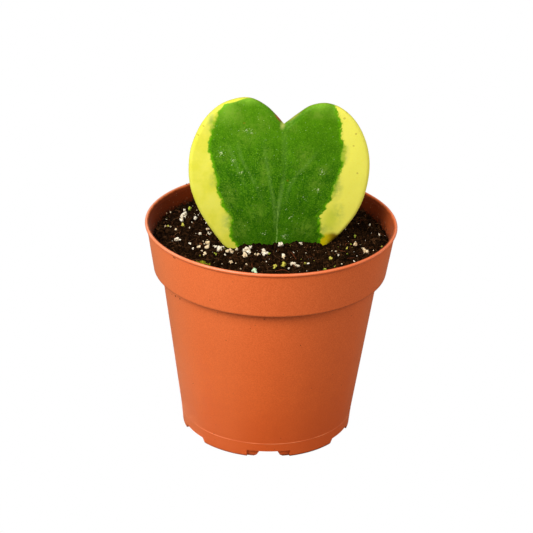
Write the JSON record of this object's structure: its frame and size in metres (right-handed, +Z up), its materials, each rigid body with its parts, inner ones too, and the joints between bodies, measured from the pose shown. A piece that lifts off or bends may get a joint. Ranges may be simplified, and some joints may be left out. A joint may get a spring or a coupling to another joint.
{
  "type": "potted hoya plant",
  "caption": "Heart-shaped hoya leaf cutting, green with yellow margins, rooted upright in dark potting mix in a small terracotta-coloured plastic nursery pot.",
  "frame": {"origin": "centre of the pot's foot, on the plane that the pot stands on", "axes": "+Z up along the pot's axis, -Y out of the front face of the leaf, +X to the right of a viewer who faces the leaf"},
  "size_m": [0.102, 0.102, 0.1437],
  "materials": {
    "pot": "moulded terracotta-coloured plastic, satin",
    "potting_mix": "crumbly dark brown bark and peat mix with pale perlite grains",
    "leaf": "thick waxy leaf skin, green with yellow margins, satin"
  },
  "bodies": {
    "root": {"pot": "pot", "potting_mix": "potting_mix", "leaf": "leaf"}
  },
  "joints": []
}
